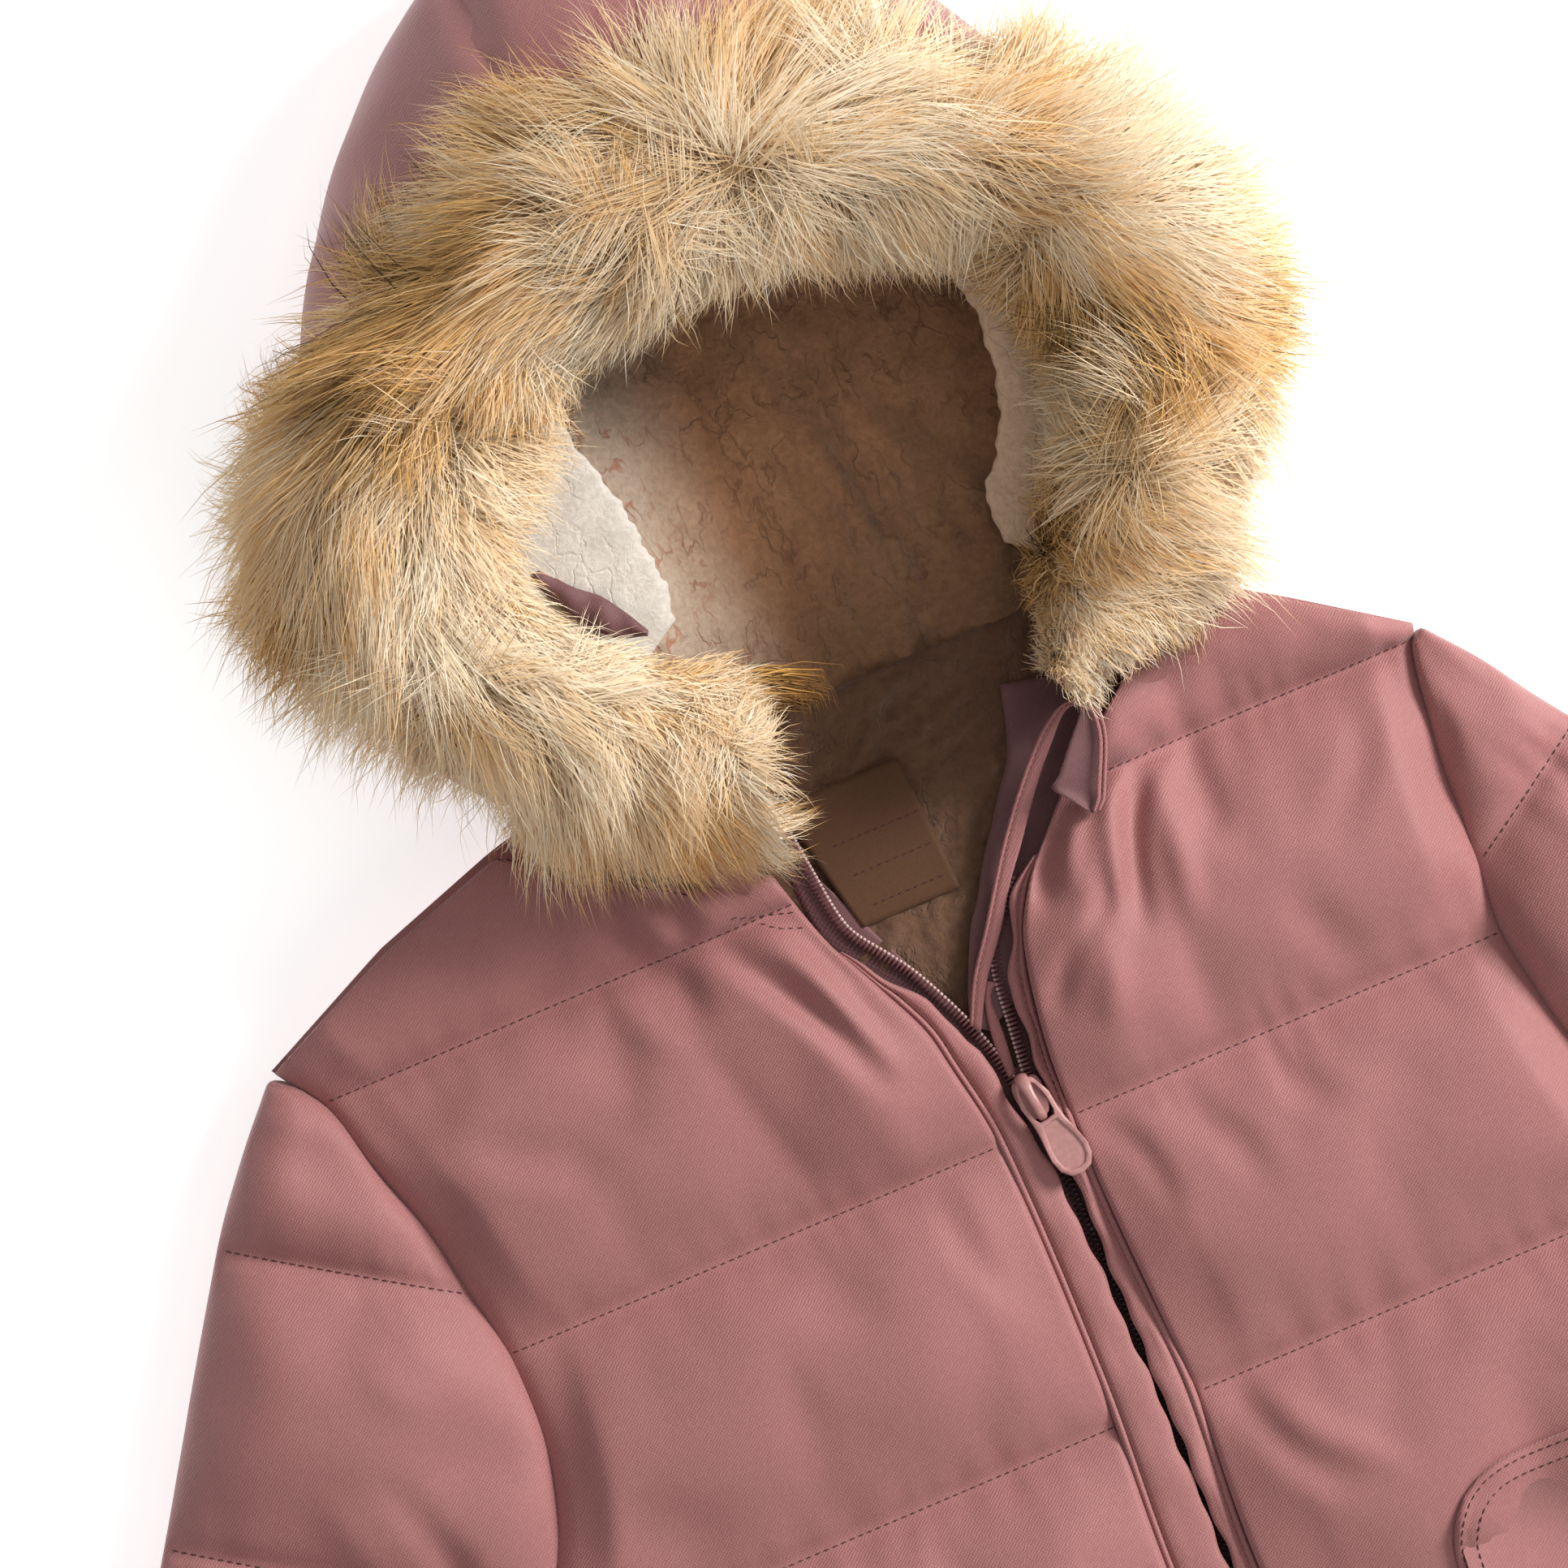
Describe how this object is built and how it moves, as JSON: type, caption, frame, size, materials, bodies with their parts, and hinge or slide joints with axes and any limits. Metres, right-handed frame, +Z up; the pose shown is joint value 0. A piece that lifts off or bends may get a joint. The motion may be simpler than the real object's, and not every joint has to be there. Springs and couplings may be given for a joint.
{
  "type": "padded jacket",
  "caption": "Child's quilted puffer jacket with a fur-edged, sherpa-lined hood and a front zip, laid flat on its back with the zip open at the neck.",
  "frame": {"origin": "on the back's flat underside, straight below the zip's slider", "axes": "+X to the wearer's left, +Y up the zip to the hood, +Z up from the surface that the jacket lies on"},
  "size_m": [0.6273, 0.5849, 0.098],
  "materials": {
    "shell_cloth": "fine matt twill with a soft sheen, dusty rose",
    "sherpa": "short curled off-white pile",
    "fur": "long cream pile with golden-brown tips",
    "zip_tape": "woven tape, plum",
    "zip_paint": "painted zip slider and pull, satin rose",
    "label_cloth": "plain woven ribbon, tan"
  },
  "bodies": {
    "jacket": {"back": "shell_cloth", "front_right": "shell_cloth", "front_left": "shell_cloth", "sleeve_right": "shell_cloth", "sleeve_left": "shell_cloth", "pocket_right": "shell_cloth", "pocket_left": "shell_cloth", "hood_right": "shell_cloth", "hood_centre": "shell_cloth", "hood_left": "shell_cloth", "edge_strip_right": "shell_cloth", "edge_strip_left": "shell_cloth", "chin_guard": "shell_cloth", "hood_lining_right": "sherpa", "hood_lining_centre": "sherpa", "hood_lining_left": "sherpa", "hood_band": "sherpa", "neck_lining": "sherpa", "fur_trim": "fur", "zip_tape_right": "zip_tape", "zip_tape_left": "zip_tape", "slider": "zip_paint", "neck_label": "label_cloth"},
    "pull_tab": {"pull_tab": "zip_paint"}
  },
  "joints": [
    {"name": "pull_hinge", "type": "hinge", "parent": "jacket", "child": "pull_tab", "pos_m": [0, 0, 0.0196], "axis": [-0.9816, -0.1908, 0], "range_deg": [0, 150]}
  ]
}
